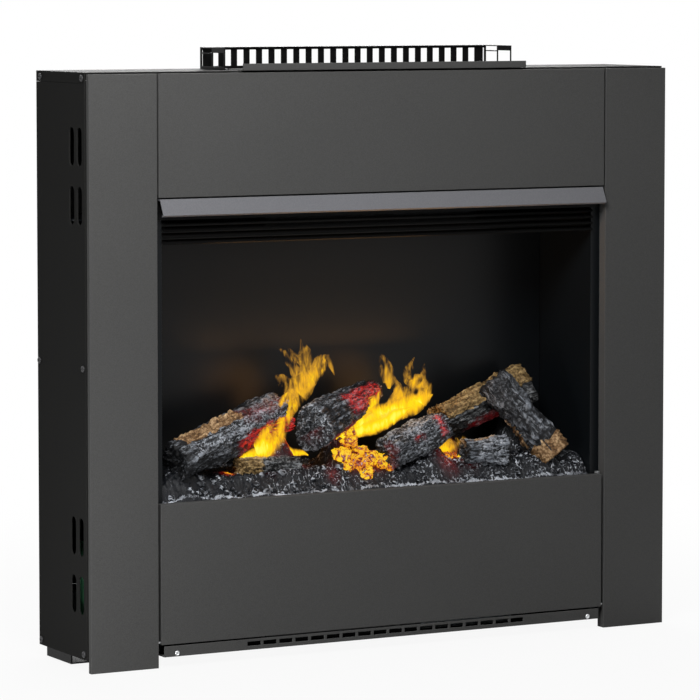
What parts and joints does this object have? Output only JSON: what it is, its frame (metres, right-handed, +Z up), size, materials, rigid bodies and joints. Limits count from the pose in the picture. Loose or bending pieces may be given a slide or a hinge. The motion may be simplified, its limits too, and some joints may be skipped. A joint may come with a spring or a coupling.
{
  "type": "electric fireplace insert",
  "caption": "Slim electric fireplace insert: sheet-metal casing, open firebox, log bed on a lift-out tray, angled hood with louvres, drop-down flap over the mist unit, comb guard on top.",
  "frame": {"origin": "centre of the bottom of the whole object's box: midway across and front to back, at the floor", "axes": "+X to the right seen from the front, +Y from the front to the back, +Z up"},
  "size_m": [0.68, 0.134, 0.6246],
  "materials": {
    "front_paint": "anthracite fine-textured satin powder coat",
    "side_paint": "black satin powder coat",
    "hood_paint": "grey satin paint, as the front but lit from above",
    "black_paint": "matt black paint",
    "firebox_paint": "dark blue-grey matt paint",
    "steel": "zinc-plated steel",
    "black_plastic": "moulded, fine grain",
    "clear_plastic": "translucent moulded tank",
    "ember": "glossy black moulded embers with ash-grey ridges",
    "charred_wood": "charred, cracked, with ash and red ember glow",
    "bark": "tan bark over charred wood",
    "flame": "lit mist, yellow to orange",
    "lamp_glass": "warm lamp glass",
    "board": "circuit board with components",
    "copper": "lacquered windings and core"
  },
  "bodies": {
    "casing": {"left_side_panel": "side_paint", "right_side_panel": "side_paint", "top_lid": "side_paint", "back_panel": "side_paint", "lower_back_panel": "side_paint", "inlet_plate": "side_paint", "base_plate": "black_paint", "left_column": "front_paint", "right_column": "front_paint", "rear_foot_left": "black_paint", "rear_foot_right": "black_paint", "upper_fascia": "front_paint", "hood_deflector": "hood_paint", "outlet_lip": "black_paint", "base_rail": "front_paint", "top_vent_guard": "black_paint", "vent_guard_strip": "front_paint", "firebox_left_wall": "firebox_paint", "firebox_right_wall": "firebox_paint", "firebox_back": "firebox_paint", "heater_shelf": "firebox_paint", "louvre_blade_1": "black_paint", "louvre_blade_2": "black_paint", "louvre_blade_3": "black_paint", "louvre_blade_4": "black_paint", "hinge_pin_left": "steel", "hinge_pin_right": "steel", "flap_catch_left": "steel", "flap_catch_right": "steel", "lamp_bar": "steel", "lamp_1": "lamp_glass", "lamp_2": "lamp_glass", "lamp_3": "lamp_glass", "sump_tray": "black_plastic", "nebuliser": "black_plastic", "mist_fan_frame": "black_plastic", "water_tank": "clear_plastic", "switch_panel": "black_paint", "heater_fan_housing": "steel", "heater_fan_motor": "copper", "heating_element": "steel", "transformer": "copper", "control_board": "board", "mains_inlet": "black_plastic"},
    "flap": {"lower_fascia": "front_paint"},
    "fuel_bed": {"fuel_bed_tray": "black_paint", "ember_bed": "ember", "log_rear_right": "bark", "log_left": "charred_wood", "log_middle": "charred_wood", "log_short": "charred_wood", "log_leaning": "charred_wood", "chunk_right": "charred_wood", "chunk_left": "bark"},
    "heater_rotor": {"heater_fan_impeller": "steel"},
    "mist_rotor": {"mist_fan_rotor": "black_plastic"},
    "cap": {"tank_cap": "black_plastic"},
    "rocker": {"main_rocker": "black_plastic"},
    "button": {"heat_button": "black_plastic"},
    "dial": {"effect_dial": "black_plastic"}
  },
  "joints": [
    {"name": "flap_hinge", "type": "hinge", "parent": "casing", "child": "flap", "pos_m": [0, -0.056, 0.0256], "axis": [1, 0, 0], "range_deg": [0, 90]},
    {"name": "bed_lift", "type": "slide", "parent": "casing", "child": "fuel_bed", "axis": [0, 0, 1], "range_m": [0, 0.06]},
    {"name": "heater_fan_spin", "type": "hinge", "parent": "casing", "child": "heater_rotor", "pos_m": [0, 0.0235, 0.506], "axis": [1, 0, 0], "continuous": true},
    {"name": "mist_fan_spin", "type": "hinge", "parent": "casing", "child": "mist_rotor", "pos_m": [-0.1293, 0.0145, 0.096], "axis": [1, 0, 0], "continuous": true},
    {"name": "cap_turn", "type": "hinge", "parent": "casing", "child": "cap", "pos_m": [0.114, 0.0145, 0.134], "axis": [0, 0, 1], "range_deg": [0, 90]},
    {"name": "rocker_tilt", "type": "hinge", "parent": "casing", "child": "rocker", "pos_m": [-0.22, -0.0461, 0.0491], "axis": [1, 0, 0], "range_deg": [0, 19]},
    {"name": "button_press", "type": "slide", "parent": "casing", "child": "button", "axis": [0, 1, 0], "range_m": [0, 0.0025], "stiffness_N_per_m": 150},
    {"name": "dial_turn", "type": "hinge", "parent": "casing", "child": "dial", "pos_m": [-0.156, -0.0467, 0.0491], "axis": [0, 1, 0], "range_deg": [0, 270]}
  ]
}
